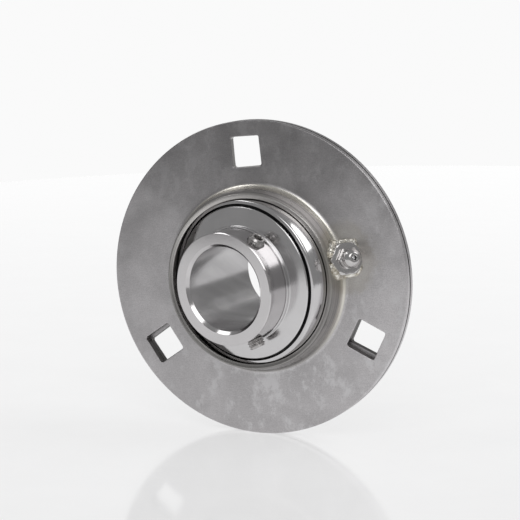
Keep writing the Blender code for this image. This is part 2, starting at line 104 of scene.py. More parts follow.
# Set screws, M6 with a 3 mm socket, and their tapped holes.
SCREW_HEIGHT = 17.5
SCREW_PITCH = 1.0
SCREW_CORE = 2.48
SCREW_CREST = 2.96
SOCKET_FLATS = 3.0
SOCKET_DEPTH = 3.2
SOCKET_MOUTH = 1.9
TAP_RADIUS = 3.12
COUNTERSINK_RADIUS = 3.3
COUNTERSINK_DEPTH = 0.25

# Weld nut and grease fitting, along the fitting's axis.
NUT_FLATS = 11.0
NUT_FACE = 5.0
NUT_BORE = 3.0
NUT_LOWEST = -1.0
NUT_SUNK = 0.8
FITTING_FLATS = 7.0
FITTING_BALL_HEIGHT = 9.1
FITTING_BALL_RADIUS = 1.15
FITTING_TIP = 10.8
FITTING_SHANK_END = 2.9

# Mesh fineness.
ROUND_STEPS = 192
HEXAGON_STEPS = 96
SMALL_STEPS = 48
OWN_PLACE = "own_place"

# ---------------------------------------------------------------- axes, read from the frame
insert_z = Vector(joints["shaft_spin"]["axis"]).normalized()
screw_directions = [Vector(joints[f"set_screw_{n}_travel"]["axis"]).normalized() for n in (1, 2)]
fitting_z = Vector(joints["fitting_ball_travel"]["axis"]).normalized()


def axes(origin, along, sideways):
    """Matrix with its Z along the first direction and its X as near the second as possible."""
    z = along.normalized()
    y = z.cross(sideways).normalized()
    x = y.cross(z)
    turned = Matrix((x, y, z)).transposed().to_4x4()
    return Matrix.Translation(origin) @ turned


def middle(node):
    low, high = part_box(node)
    return (low + high) / 2


housing_axes = axes(Vector((0, 0, 0)), Vector((0, -1, 0)), Vector((1, 0, 0)))
insert_axes = axes(Vector((0, 0, 0)), insert_z, Vector((1, 0, 0)))
fitting_foot = middle("fitting_ball") - fitting_z * FITTING_BALL_HEIGHT * MM
fitting_axes = axes(fitting_foot, fitting_z, Vector((-1, -1, 0)))


# ---------------------------------------------------------------- outlines
def arc(centre, radius, start, end, count):
    """Points on an arc, both ends included. Angles are in degrees."""
    points = []
    for step in range(count + 1):
        angle = math.radians(start + (end - start) * step / count)
        points.append((centre[0] + radius * math.cos(angle), centre[1] + radius * math.sin(angle)))
    return points


def rounded(outline, count=4):
    """Closed outline of (radius, height, fillet) corners, with an arc in place of each corner that has a fillet."""
    points = []
    for index, corner in enumerate(outline):
        here = Vector(corner[:2])
        fillet = corner[2] if len(corner) > 2 else 0.0
        if fillet == 0.0:
            points.append(tuple(here))
            continue
        before = (Vector(outline[index - 1][:2]) - here).normalized()
        after = (Vector(outline[(index + 1) % len(outline)][:2]) - here).normalized()
        half = before.angle(after) / 2
        reach = fillet / math.tan(half)
        centre = here + (before + after).normalized() * fillet / math.sin(half)
        first = here + before * reach - centre
        last = here + after * reach - centre
        for step in range(count + 1):
            share = step / count
            spoke = first.slerp(last, share).normalized() * fillet
            points.append(tuple(centre + spoke))
    return points


def flipped(profile):
    return [(radius, -height) for radius, height in reversed(profile)]


def corner_of(flats, angle):
    """Distance from a hexagon's middle to its side, with corners at angle 0."""
    sector = TURN / 6
    off_flat = (angle % sector) - sector / 2
    return flats / 2 / math.cos(off_flat)


# ---------------------------------------------------------------- mesh builders
def finish_mesh(name, shape, matrix, sharp=32):
    """Turns a bmesh in millimetres into an object with crisp edges where its faces meet at a clear angle."""
    bmesh.ops.remove_doubles(shape, verts=shape.verts, dist=1e-5)
    bmesh.ops.recalc_face_normals(shape, faces=shape.faces)
    bmesh.ops.scale(shape, vec=(MM, MM, MM), verts=shape.verts)
    mesh = bpy.data.meshes.new(name)
    shape.to_mesh(mesh)
    shape.free()
    mesh.shade_smooth()
    mesh.set_sharp_from_angle(angle=math.radians(sharp))
    obj = bpy.data.objects.new(name, mesh)
    bpy.context.scene.collection.objects.link(obj)
    obj.matrix_world = matrix
    return obj


def skin(name, loops, matrix, wrap=False, sharp=32):
    """Closed loops of points, each joined to the next. With wrap the last joins the first, else the ends are capped."""
    shape = bmesh.new()
    rings = [[shape.verts.new(point) for point in loop] for loop in loops]
    pairs = list(zip(rings, rings[1:]))
    if wrap:
        pairs.append((rings[-1], rings[0]))
    for lower, upper in pairs:
        for index in range(len(lower)):
            after = (index + 1) % len(lower)
            shape.faces.new((lower[index], lower[after], upper[after], upper[index]))
    if not wrap:
        shape.faces.new(list(reversed(rings[0])))
        shape.faces.new(rings[-1])
    return finish_mesh(name, shape, matrix, sharp)


def ring_of(reach, height, steps):
    """Loop round Z. The reach is a radius, or a function of the angle."""
    loop = []
    for step in range(steps):
        angle = TURN * step / steps
        radius = reach(angle) if callable(reach) else reach
        loop.append((radius * math.cos(angle), radius * math.sin(angle), height))
    return loop


def lathe(name, profile, matrix, steps=ROUND_STEPS, sharp=32):
    """Closed profile of (radius, height) turned a full circle."""
    return skin(name, [ring_of(r, z, steps) for r, z in profile], matrix, wrap=True, sharp=sharp)


def cut(obj, *cutters):
    """Subtracts the cutters, applies the result and removes them."""
    for other in cutters:
        step = obj.modifiers.new("cut", "BOOLEAN")
        step.operation = "DIFFERENCE"
        step.solver = "EXACT"
        step.object = other
    bpy.context.view_layer.update()
    graph = bpy.context.evaluated_depsgraph_get()
    mesh = bpy.data.meshes.new_from_object(obj.evaluated_get(graph))
    obj.modifiers.clear()
    obj.data = mesh
    mesh.shade_smooth()
    mesh.set_sharp_from_angle(angle=math.radians(32))
    for other in cutters:
        bpy.data.objects.remove(other, do_unlink=True)
    level = obj.modifiers.new("level", "WEIGHTED_NORMAL")
    level.keep_sharp = True
    level.weight = 100


def keep_own_axes(obj):
    """Stores each point's place in the piece's own axes for its material, then lays the mesh in the row frame."""
    place = obj.data.attributes.new(OWN_PLACE, "FLOAT_VECTOR", "POINT")
    for point, vertex in zip(place.data, obj.data.vertices):
        point.vector = vertex.co
    obj.data.transform(obj.matrix_world)
    obj.matrix_world = Matrix.Identity(4)


def settle(obj, body, slot, material, *nodes):
    """Gives a piece its material and its body, and hides the CAD nodes that it stands for. The slot argument is not
    used.
    """
    keep_own_axes(obj)
    obj.data.materials.clear()
    obj.data.materials.append(material)
    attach(obj, body)
    if nodes:
        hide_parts(*nodes)


# ---------------------------------------------------------------- housing plates
def bend_centre():
    height = PLATE_FACE + BEND
    return math.sqrt((BULGE_RADIUS + BEND) ** 2 - height ** 2), height


def under_bend_centre():
    """Centre of the bend on the sheet's hidden side. It meets the seat's sphere smoothly, outside the outer ring."""
    height = PLATE_BACK + UNDER_BEND
    return math.sqrt((SEAT_RADIUS + UNDER_BEND) ** 2 - height ** 2), height


def mouth_points(inner_end, outer_end, lip):
    """The sheet's edge at the mouth, with its outer corner rounded."""
    inside = Vector(arc((0, 0), SEAT_RADIUS, inner_end, inner_end, 1)[0])
    corner = Vector(arc((0, 0), BULGE_RADIUS, outer_end, outer_end, 1)[0])
    below = Vector(arc((0, 0), BULGE_RADIUS, outer_end - math.degrees(lip / BULGE_RADIUS), outer_end, 1)[0])
    before = corner + (inside - corner).normalized() * lip
    points = []
    for step in range(6):
        share = step / 6
        points.append(tuple(before.lerp(corner, share).lerp(corner.lerp(below, share), share)))
    return points


def plate_profile():
    """Sheared rim, flat flange, bend, spherical bulge drawn thinner than the flange, and a rounded mouth."""
    centre = bend_centre()
    bend_angle = math.degrees(math.atan2(centre[1], centre[0]))
    inner_end = math.degrees(math.asin(LIP_INNER_HEIGHT / SEAT_RADIUS))
    outer_end = math.degrees(math.asin(LIP_OUTER_HEIGHT / BULGE_RADIUS))
    roll, burr, lip = 0.45, 0.50, 0.55
    rim = arc((FLANGE_RADIUS - roll, PLATE_FACE - roll), roll, 90, 0, 6)
    rim += arc((FLANGE_RADIUS - burr, PLATE_BACK + burr), burr, 0, -90, 6)
    under_centre = under_bend_centre()
    under_angle = math.degrees(math.atan2(under_centre[1], under_centre[0]))
    under = arc(under_centre, UNDER_BEND, 270, under_angle + 180, 12)
    seat = arc((0, 0), SEAT_RADIUS, under_angle, inner_end, 14)[1:]
    lip_angle = math.degrees(lip / BULGE_RADIUS)
    mouth = mouth_points(inner_end, outer_end, lip)
    bulge = arc((0, 0), BULGE_RADIUS, outer_end - lip_angle, bend_angle, 14)
    bend = arc(centre, BEND, bend_angle + 180, 270, 14)[1:]
    return rim + under + seat + mouth + bulge + bend


def square_loop(offset, height):
    """Rounded square about the Z axis, grown by offset."""
    corner = HOLE_CORNER + offset
    straight = HOLE_SIDE / 2 - HOLE_CORNER
    loop = []
    for quarter, (x, y) in enumerate(((1, 1), (-1, 1), (-1, -1), (1, -1))):
        for point in arc((x * straight, y * straight), corner, 90 * quarter, 90 * quarter + 90, 6):
            loop.append((point[0], point[1], height))
    return loop


def hole_cutter(index, side):
    """Punch for a square hole: its edge is rolled on the plate's outer face and crisp on its inner one."""
    roll = 0.35
    loops = [square_loop(0.0, PLATE_BACK - 1.0)]
    for step in range(7):
        angle = math.radians(90 * step / 6)
        loops.append(square_loop(roll * (1 - math.cos(angle)), PLATE_FACE - roll + roll * math.sin(angle)))
    loops.append(square_loop(roll, PLATE_FACE + 1.0))
    loops = [[(x, y, z * side) for x, y, z in loop] for loop in loops]
    turn = HOLE_ANGLES[index] + (REAR_TURN if side < 0 else 0.0)
    outward = Matrix.Rotation(turn, 4, "Z") @ Matrix.Translation((HOLE_CIRCLE * MM, 0, 0))
    return skin(f"punch_{index}", loops, housing_axes @ outward)


def build_plates(material):
    for name, side in (("front", 1), ("rear", -1)):
        profile = plate_profile() if side > 0 else flipped(plate_profile())
        plate = lathe(f"{name}_plate", profile, housing_axes)
        cut(plate, *[hole_cutter(index, side) for index in range(3)])
        settle(plate, "housing", "pressed_steel", material, f"{name}_flange")


# ---------------------------------------------------------------- grease boss, weld and fitting
def build_nut(material):
    """Hexagonal weld nut with turned-down corners, and a bore for the fitting. Its foot ends inside the sheet."""
    corner = corner_of(NUT_FLATS, 0.0)

    def hexagon(height):
        trim = corner - 0.15 - max(0.0, height - (NUT_FACE - 0.45)) * 1.7
        return lambda angle: min(corner_of(NUT_FLATS, angle), trim)

    def foot(loop):
        seated = []
        for x, y, _ in loop:
            toe = toe_height(math.atan2(y, x), math.hypot(x, y))
            seated.append((x, y, max(NUT_LOWEST, toe - NUT_SUNK)))
        return seated

    loops = [foot(ring_of(hexagon(NUT_LOWEST), NUT_LOWEST, HEXAGON_STEPS))]
    for below_face in (0.5, 0.3, 0.12):
        height = NUT_FACE - below_face
        loops.append(ring_of(hexagon(height), height, HEXAGON_STEPS))
    loops.append(ring_of(NUT_FLATS / 2 - 0.35, NUT_FACE, HEXAGON_STEPS))
    loops.append(ring_of(NUT_BORE + 0.35, NUT_FACE, HEXAGON_STEPS))
    loops.append(ring_of(NUT_BORE, NUT_FACE - 0.35, HEXAGON_STEPS))
    loops.append(foot(ring_of(NUT_BORE, NUT_LOWEST, HEXAGON_STEPS)))
    nut = skin("weld_nut", loops, fitting_axes, wrap=True, sharp=24)
    settle(nut, "housing", "turned_steel", material, "grease_boss")


def height_over_plate(point):
    """Signed distance from the front plate's outer surface, for a point in the fitting's axes."""
    local = housing_axes.inverted() @ fitting_axes @ (Vector(point) * MM) / MM
    radius = math.hypot(local.x, local.y)
    centre = bend_centre()
    to_bend = Vector((radius - centre[0], local.z - centre[1]))
    in_bend = to_bend.x < 0 and to_bend.y < 0
    above = min(local.z - PLATE_FACE, math.hypot(radius, local.z) - BULGE_RADIUS)
    return BEND - to_bend.length if in_bend else above


def toe_height(angle, reach):
    """Height on the fitting's axis at which a line beside the nut meets the plate."""
    low, high = -9.0, NUT_FACE
    for _ in range(24):
        middle_height = (low + high) / 2
        point = (reach * math.cos(angle), reach * math.sin(angle), middle_height)
        if height_over_plate(point) > 0:
            high = middle_height
        else:
            low = middle_height
    return (low + high) / 2


def build_weld(name, start, end, seed, material):
    """Rippled fillet bead along the nut's foot, from one angle to the other.

    It thins to nothing at both ends and is heaviest towards the bulge.
    """
    steps, sides, ripples = 110, 18, 13
    bulge_side = fitting_axes.inverted().to_3x3() @ (housing_axes.translation - fitting_foot)
    bulge_side = Vector((bulge_side.x, bulge_side.y, 0.0)).normalized()
    up = Vector((0, 0, 1))
    loops = []
    for step in range(steps + 1):
        share = step / steps
        angle = math.radians(start + (end - start) * share)
        outward = Vector((math.cos(angle), math.sin(angle), 0.0))
        swell = math.sin(math.pi * share) ** 0.35
        ripple = abs(math.sin(share * math.pi * ripples))
        wander = noise.noise(Vector((share * 6, seed, 0.0)))
        size = max(0.06, swell * (1.02 + 0.13 * ripple + 0.16 * wander))
        size *= 0.88 + 0.82 * max(0.0, outward.dot(bulge_side))
        reach = corner_of(NUT_FLATS, angle) + 0.15
        height = min(toe_height(angle, reach) + 0.25, NUT_FACE - 0.9)
        centre = Vector((reach * math.cos(angle), reach * math.sin(angle), height))
        loop = []
        for side in range(sides):
            around = TURN * side / sides
            loop.append(centre + outward * math.cos(around) * size * 1.15 + up * math.sin(around) * size)
        loops.append(loop)
    bead = skin(f"{name}_bead", loops, fitting_axes, sharp=80)
    settle(bead, "housing", "weld_metal", material, name)


def build_fitting(material):
    """Grease fitting: threaded shank, hexagon with turned corners, neck, and a head with the check ball's mouth."""
    steps = HEXAGON_STEPS
    hex_low, hex_high = NUT_FACE + GAP, NUT_FACE + GAP + 2.3
    corner = corner_of(FITTING_FLATS, 0.0)

    def hexagon(height):
        edge = min(height - hex_low, hex_high - height)
        trim = corner - max(0.0, 0.35 - edge) * 1.6
        return lambda angle: min(corner_of(FITTING_FLATS, angle), trim)

    bore, mouth, shank = 1.35, 0.85, 2.65
    loops = [ring_of(1.0, FITTING_SHANK_END, steps), ring_of(shank - 0.3, FITTING_SHANK_END, steps)]
    loops.append(ring_of(shank, FITTING_SHANK_END + 0.3, steps))
    loops.append(ring_of(shank, hex_low, steps))
    loops += [ring_of(hexagon(z), z, steps) for z in (hex_low, hex_low + 0.35, hex_high - 0.35, hex_high)]
    head = [(2.45, hex_high), (2.3, hex_high + 0.15), (2.3, FITTING_TIP - 2.7), (2.62, FITTING_TIP - 2.3)]
    head += [(3.1, FITTING_TIP - 1.9), (3.1, FITTING_TIP - 1.5), (2.9, FITTING_TIP - 1.12)]
    head += [(2.1, FITTING_TIP - 0.3), (1.8, FITTING_TIP - 0.08), (1.45, FITTING_TIP)]
    head += [(1.05, FITTING_TIP), (mouth, FITTING_TIP - 0.16), (mouth, FITTING_TIP - 0.6)]
    head += [(bore, FITTING_TIP - 1.2), (bore, FITTING_SHANK_END + 0.4), (1.0, FITTING_SHANK_END + 0.4)]
    loops += [ring_of(r, z, steps) for r, z in head]
    body = skin("grease_nipple", loops, fitting_axes, wrap=True, sharp=26)
    settle(body, "housing", "turned_steel", material, "grease_fitting")


def ball_mesh(name, radius, matrix, steps):
    """Sphere from loops between two poles."""
    rows = steps // 2
    loops = []
    for row in range(1, rows):
        angle = math.pi * row / rows - math.pi / 2
        loops.append(ring_of(radius * math.cos(angle), radius * math.sin(angle), steps))
    return skin(name, loops, matrix, sharp=60)


def build_check_valve(ball_material, spring_material):
    radius = FITTING_BALL_RADIUS
    at = fitting_axes @ Matrix.Translation((0, 0, FITTING_BALL_HEIGHT * MM))
    ball = ball_mesh("check_ball", radius, at, SMALL_STEPS)
    settle(ball, "fitting_ball", "ball_steel", ball_material, "fitting_ball")

    wire, mean, turns, per_turn, sides = 0.15, 0.95, 6, 28, 10
    low = FITTING_SHANK_END + 0.4 + wire
    high = FITTING_BALL_HEIGHT - radius - wire
    loops = []
    for step in range(turns * per_turn + 1):
        share = step / (turns * per_turn)
        angle = TURN * step / per_turn
        rise = min(1.0, max(0.0, (share - 0.12) / 0.76))
        centre = Vector((mean * math.cos(angle), mean * math.sin(angle), low + (high - low) * rise))
        outward = Vector((math.cos(angle), math.sin(angle), 0.0))
        loop = []
        for side in range(sides):
            around = TURN * side / sides
            loop.append(centre + (outward * math.cos(around) + Vector((0, 0, math.sin(around)))) * wire)
        loops.append(loop)
    spring = skin("valve_spring", loops, fitting_axes, sharp=60)
    settle(spring, "housing", "ball_steel", spring_material, "fitting_spring")
    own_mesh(spring)


# ---------------------------------------------------------------- rings, flingers and seals
def race_arc(shoulder_radius, count=20):
    """Race groove from its front edge to its rear edge, on a shoulder inside or outside the pitch circle."""
    across = shoulder_radius - PITCH_RADIUS
    edge = math.sqrt(RACE_RADIUS ** 2 - across ** 2)
    middle_angle = 180 if across < 0 else 0
    spread = math.degrees(math.atan2(edge, abs(across)))
    turn = -1 if across < 0 else 1
    return arc((PITCH_RADIUS, 0), RACE_RADIUS, middle_angle + turn * spread, middle_angle - turn * spread, count)


def inner_ring_profile():
    shave = 0.03
    chamfer, edge, blend = 1.1, 0.35, 0.12
    front = INNER_FRONT - shave
    rear = -INNER_REAR + shave
    bore, side = SHAFT_RADIUS, INNER_RING_RADIUS
    outline = [
        (bore + chamfer, front, 0.1), (side - edge, front, blend), (side, front - edge, blend),
        (side, rear + edge, blend), (side - edge, rear, blend), (bore + chamfer, rear, 0.1),
        (bore, rear + chamfer, 0.15), (bore, front - chamfer, 0.15),
    ]
    fillet_steps, front_corners = 4, 3
    points = rounded(outline, fillet_steps)
    front_points = front_corners * (fillet_steps + 1)
    return points[:front_points] + race_arc(side) + points[front_points:]


def outer_ring_profile():
    crown = math.degrees(math.asin((OUTER_HALF_WIDTH - 0.35) / SPHERE_RADIUS))
    face = math.sqrt(SPHERE_RADIUS ** 2 - OUTER_HALF_WIDTH ** 2)
    step = [
        (OUTER_LAND, SEAL_STEP), (SEAL_BORE - 0.15, SEAL_STEP), (SEAL_BORE, SEAL_STEP + 0.15),
        (SEAL_BORE, OUTER_HALF_WIDTH - 0.25), (SEAL_BORE + 0.25, OUTER_HALF_WIDTH),
        (face - 0.45, OUTER_HALF_WIDTH), (face - 0.17, OUTER_HALF_WIDTH - 0.09),
    ]
    ball = arc((0, 0), SPHERE_RADIUS, crown, -crown, 40)
    return step + ball + flipped(step) + list(reversed(race_arc(OUTER_LAND)))


def screw_axes(number):
    origin = insert_z * SCREW_HEIGHT * MM
    return axes(origin, screw_directions[number - 1], insert_z)


def tapped_hole(number):
    """Countersunk tapped hole for a set screw, with its thread left as ridges in the wall."""
    steps = SMALL_STEPS * 2
    loops = [ring_of(TAP_RADIUS, SHAFT_RADIUS * 0.75, steps)]
    height = SHAFT_RADIUS - 0.5
    top = INNER_RING_RADIUS - COUNTERSINK_DEPTH - 0.25
    while height < top:
        loops.append(ring_of(TAP_RADIUS - 0.12, height, steps))
        loops.append(ring_of(TAP_RADIUS + 0.04, height + SCREW_PITCH / 2, steps))
        height += SCREW_PITCH
    loops.append(ring_of(TAP_RADIUS, INNER_RING_RADIUS - COUNTERSINK_DEPTH - 0.15, steps))
    loops.append(ring_of(COUNTERSINK_RADIUS, INNER_RING_RADIUS - 0.05, steps))
    loops.append(ring_of(COUNTERSINK_RADIUS + 0.15, INNER_RING_RADIUS + 2.0, steps))
    return skin(f"tap_{number}", loops, screw_axes(number))


def build_rings(turned, polished):
    inner = lathe("inner_race_ring", inner_ring_profile(), insert_axes)
    cut(inner, tapped_hole(1), tapped_hole(2))
    settle(inner, "inner_ring", "turned_steel", turned, "inner_ring")
    outer = lathe("outer_race_ring", outer_ring_profile(), insert_axes)
    level = outer.modifiers.new("level", "WEIGHTED_NORMAL")
    level.keep_sharp = True
    settle(outer, "outer_ring", "polished_steel", polished, "outer_ring")


def flinger_profile():
    """Thin coned disc with a collar: its outer edge is rolled and a fillet leads up to the collar."""
    bore = INNER_RING_RADIUS + 0.02
    wall, fillet = 0.55, 0.35
    collar = bore + wall
    disc = [(bore, FLINGER_BACK), (bore, COLLAR_TOP - 0.12), (bore + 0.12, COLLAR_TOP)]
    disc += arc((collar - 0.2, COLLAR_TOP - 0.2), 0.2, 90, 0, 6)
    disc += arc((collar + fillet, FLINGER_HUB + fillet), fillet, 180, 270, 12)
    disc += arc((FLINGER_RADIUS - 0.45, FLINGER_FACE - 0.45), 0.45, 90, 0, 8)
    disc += arc((FLINGER_RADIUS - 0.18, FLINGER_BACK + 0.18), 0.18, 0, -90, 4)
    return disc


def seal_profile():
    """Rubber seal: bead in the outer ring's step, web with a moulded rib, and a lip on the inner ring."""
    back = SEAL_STEP + GAP
    outside = SEAL_BORE - 0.05
    lip = INNER_RING_RADIUS + 0.05
    outline = [
        (outside, back + 1.8, 0.3), (outside, back, 0.2), (lip + 1.3, back, 0.2), (lip, back + 1.3, 0.08),
        (lip + 0.45, back + 1.8, 0.12), (lip + 1.9, back + 0.9, 0.25), (outside - 3.2, back + 0.9, 0.1),
        (outside - 2.9, back + 1.15, 0.1), (outside - 2.4, back + 1.15, 0.1), (outside - 2.1, back + 0.9, 0.1),
        (outside - 1.5, back + 0.9, 0.2), (outside - 1.1, back + 1.8, 0.2),
    ]
    return rounded(outline)


def build_seals_and_flingers(mirror, rubber):
    for name, side in (("front", 1), ("rear", -1)):
        disc = flinger_profile() if side > 0 else flipped(flinger_profile())
        flinger = lathe(f"{name}_flinger_disc", disc, insert_axes)
        settle(flinger, "inner_ring", "polished_steel", mirror, f"{name}_flinger")
        shape = seal_profile() if side > 0 else flipped(seal_profile())
        seal = lathe(f"{name}_rubber_seal", shape, insert_axes)
        settle(seal, "outer_ring", "seal_rubber", rubber, f"{name}_seal")


# ---------------------------------------------------------------- balls, cage and rivets
def build_balls(material):
    for number in range(1, BALL_COUNT + 1):
        at = Vector(joints[f"ball_{number}_spin"]["pos_m"])
        ball = ball_mesh(f"bearing_ball_{number}", BALL_RADIUS, axes(at, insert_z, Vector((1, 0, 0))), SMALL_STEPS)
        settle(ball, f"ball_{number}", "ball_steel", material, f"ball_{number}")


def first_ball_angle():
    local = insert_axes.inverted() @ Vector(joints["ball_1_spin"]["pos_m"])
    return math.atan2(local.y, local.x)


def build_cage(material, rivet_material):
    """Two pressed ribbons that follow the balls, with a flat for a rivet between each pair."""
    start = first_ball_angle()
    inner, outer, sheet, pocket, per_ball, across = 21.4, 24.6, 0.7, 5.06, 24, 6
    rivet_hole = 0.75

    def crown(radius, angle, reach, flat):
        """Height of a pocket's shell over the ribbon, or the ribbon's own height between two pockets."""
        pitch = TURN / BALL_COUNT
        off = (angle + pitch / 2) % pitch - pitch / 2
        gap = (radius * math.sin(off)) ** 2 + (radius * math.cos(off) - PITCH_RADIUS) ** 2
        return max(flat, math.sqrt(max(0.0, reach ** 2 - gap)))

    for name, side in (("front", 1), ("rear", -1)):
        shape = bmesh.new()
        rows = []
        count = BALL_COUNT * per_ball
        for step in range(count):
            angle = TURN * step / count
            section = []
            for column in range(across + 1):
                radius = inner + (outer - inner) * column / across
                section.append((radius, crown(radius, angle, pocket, GAP / 2)))
            for column in range(across, -1, -1):
                radius = inner + (outer - inner) * column / across
                section.append((radius, crown(radius, angle, pocket + sheet, GAP / 2 + sheet)))
            turn = start + angle
            rows.append([
                shape.verts.new((r * math.cos(turn), r * math.sin(turn), z * side)) for r, z in section
            ])
        for row, after in zip(rows, rows[1:] + rows[:1]):
            for index in range(len(row)):
                near = (index + 1) % len(row)
                shape.faces.new((row[index], row[near], after[near], after[index]))
        ribbon = finish_mesh(f"cage_{name}_ribbon", shape, insert_axes, sharp=50)
        drills = []
        for index in range(BALL_COUNT):
            at = Matrix.Rotation(start + TURN * (index + 0.5) / BALL_COUNT, 4, "Z")
            at = at @ Matrix.Translation((PITCH_RADIUS * MM, 0, 0))
            drill = [ring_of(rivet_hole, z, 24) for z in (-2.0, 2.0)]
            drills.append(skin(f"rivet_drill_{index}", drill, insert_axes @ at))
        cut(ribbon, *drills)
        settle(ribbon, "cage", "cage_steel", material, f"cage_{name}")

    seat, head, shank = GAP / 2 + sheet + 0.05, 0.55, 0.6
    dome = arc((0, seat), 1.2, 0, 90, 8)
    outline = [(r, seat + (z - seat) * head / 1.2) for r, z in dome[:-1]] + [(0.02, seat + head)]
    half = [(shank, seat)] + outline
    whole = list(reversed(half)) + flipped(list(reversed(half)))
    for index in range(BALL_COUNT):
        at = Matrix.Rotation(start + TURN * (index + 0.5) / BALL_COUNT, 4, "Z")
        at = at @ Matrix.Translation((PITCH_RADIUS * MM, 0, 0))
        loops = [ring_of(r, z, 24) for r, z in whole]
        rivet = skin(f"cage_pin_{index + 1}", loops, insert_axes @ at)
        settle(rivet, "cage", "cage_steel", rivet_material, f"cage_rivet_{index + 1}")


# ---------------------------------------------------------------- set screws
def socket_side(angle):
    return corner_of(SOCKET_FLATS, angle)


def socket_rim(angle):
    """Between the hexagon and a circle, as the chamfer at a socket's mouth leaves it."""
    return corner_of(SOCKET_FLATS, angle) * 0.4 + SOCKET_MOUTH * 0.6


def thread_reach(height, low, high):
    """Outline of the threaded shank at one height: a helical ridge, tapered at both ends."""
    lead_in = min(SCREW_CREST, 2.35 + (high - height) * 1.0, 2.0 + (height - low) * 1.1)

    def reach(angle):
        phase = (height / SCREW_PITCH - angle / TURN) % 1.0
        ramp = 1 - abs(2 * phase - 1)
        depth = min(1.0, max(0.0, (ramp - 0.12) / 0.70))
        return min(lead_in, SCREW_CORE + (SCREW_CREST - SCREW_CORE) * depth)
    return reach


def build_set_screws(material):
    """Cup-point socket screws with a true helical thread."""
    rows_per_pitch = 14
    for number in (1, 2):
        low, high = screw_span(number)
        rows = int((high - low) / SCREW_PITCH * rows_per_pitch)
        loops = [
            ring_of(0.02, low + 0.6, HEXAGON_STEPS), ring_of(1.2, low, HEXAGON_STEPS),
            ring_of(SOCKET_MOUTH, low, HEXAGON_STEPS),
        ]
        for row in range(1, rows + 1):
            height = low + (high - low) * row / rows
            loops.append(ring_of(thread_reach(height, low, high), height, HEXAGON_STEPS))
        loops.append(ring_of(socket_rim, high, HEXAGON_STEPS))
        loops.append(ring_of(socket_side, high - 0.28, HEXAGON_STEPS))
        loops.append(ring_of(socket_side, high - SOCKET_DEPTH + 0.5, HEXAGON_STEPS))
        loops.append(ring_of(0.02, high - SOCKET_DEPTH, HEXAGON_STEPS))
        screw = skin(f"socket_screw_{number}", loops, screw_axes(number), sharp=38)
        settle(screw, f"set_screw_{number}", "screw_steel", material, f"set_screw_{number}")


def screw_span(number):
    """Lowest and highest point of a set screw along its own axis, in millimetres, from its CAD solid."""
    inverse = screw_axes(number).inverted()
    heights = [(inverse @ vertex.co).z for vertex in frame["nodes"][f"set_screw_{number}"].data.vertices]
    return min(heights) / MM, max(heights) / MM


# ---------------------------------------------------------------- material helpers
def node(tree, kind, inputs=None, **settings):
    made = tree.nodes.new(kind)
    for key, value in settings.items():
        setattr(made, key, value)
    for key, value in (inputs or {}).items():
        if isinstance(value, bpy.types.NodeSocket):
            tree.links.new(value, made.inputs[key])
        else:
            made.inputs[key].default_value = value
    return made


def maths(tree, operation, first, second=0.0):
    return node(tree, "ShaderNodeMath", {0: first, 1: second}, operation=operation).outputs[0]


def product(tree, first, *others):
    for other in others:
        first = maths(tree, "MULTIPLY", first, other)
    return first


def noise_of(tree, vector, scale, detail=3.0, roughness=0.55, distortion=0.0):
    inputs = {
        "Vector": vector, "Scale": scale, "Detail": detail, "Roughness": roughness, "Distortion": distortion,
    }
    return node(tree, "ShaderNodeTexNoise", inputs).outputs["Fac"]


def stretched(tree, vector, scale):
    return node(tree, "ShaderNodeMapping", {"Vector": vector, "Scale": scale}).outputs[0]


def between(tree, value, low, high, out_low=0.0, out_high=1.0):
    """Smooth step of a value from low to high."""
    inputs = {"Value": value, "From Min": low, "From Max": high, "To Min": out_low, "To Max": out_high}
    return node(tree, "ShaderNodeMapRange", inputs, interpolation_type="SMOOTHSTEP").outputs["Result"]


def mixed(tree, share, first, second):
    made = node(tree, "ShaderNodeMix", {0: share, 6: first, 7: second}, data_type="RGBA")
    return made.outputs[2]


def scaled_colour(tree, colour, value):
    """Colour times a grey value."""
    grey = node(tree, "ShaderNodeCombineColor", {0: value, 1: value, 2: value}).outputs[0]
    made = node(tree, "ShaderNodeMix", {0: 1.0, 6: colour, 7: grey}, data_type="RGBA", blend_type="MULTIPLY")
    return made.outputs[2]


def bumped(tree, height, strength, distance, normal=None):
    inputs = {"Height": height, "Strength": strength, "Distance": distance}
    if normal is not None:
        inputs["Normal"] = normal
    return node(tree, "ShaderNodeBump", inputs).outputs[0]


def metal(name, metallic=1.0, **sockets):
    """New material, its node tree, its shader and its piece's own coordinates."""
    material = bpy.data.materials.new(name)
    material.use_nodes = True
    tree = material.node_tree
    shader = tree.nodes["Principled BSDF"]
    shader.inputs["Metallic"].default_value = metallic
    for key, value in sockets.items():
        shader.inputs[key].default_value = value
    coords = node(tree, "ShaderNodeAttribute", attribute_name=OWN_PLACE).outputs["Vector"]
    return material, tree, shader, coords


def plug(tree, shader, colour=None, roughness=None, normal=None):
    for key, socket in (("Base Color", colour), ("Roughness", roughness), ("Normal", normal)):
        if socket is not None:
            tree.links.new(socket, shader.inputs[key])


def cylinder_coords(tree, coords):
    """Radius, height and angle about the piece's own Z axis."""
    parts = node(tree, "ShaderNodeSeparateXYZ", {0: coords}).outputs
    flat = node(tree, "ShaderNodeCombineXYZ", {0: parts[0], 1: parts[1], 2: 0.0}).outputs[0]
    radius = node(tree, "ShaderNodeVectorMath", {0: flat}, operation="LENGTH").outputs["Value"]
    angle = maths(tree, "ARCTAN2", parts[1], parts[0])
    return radius, parts[2], angle


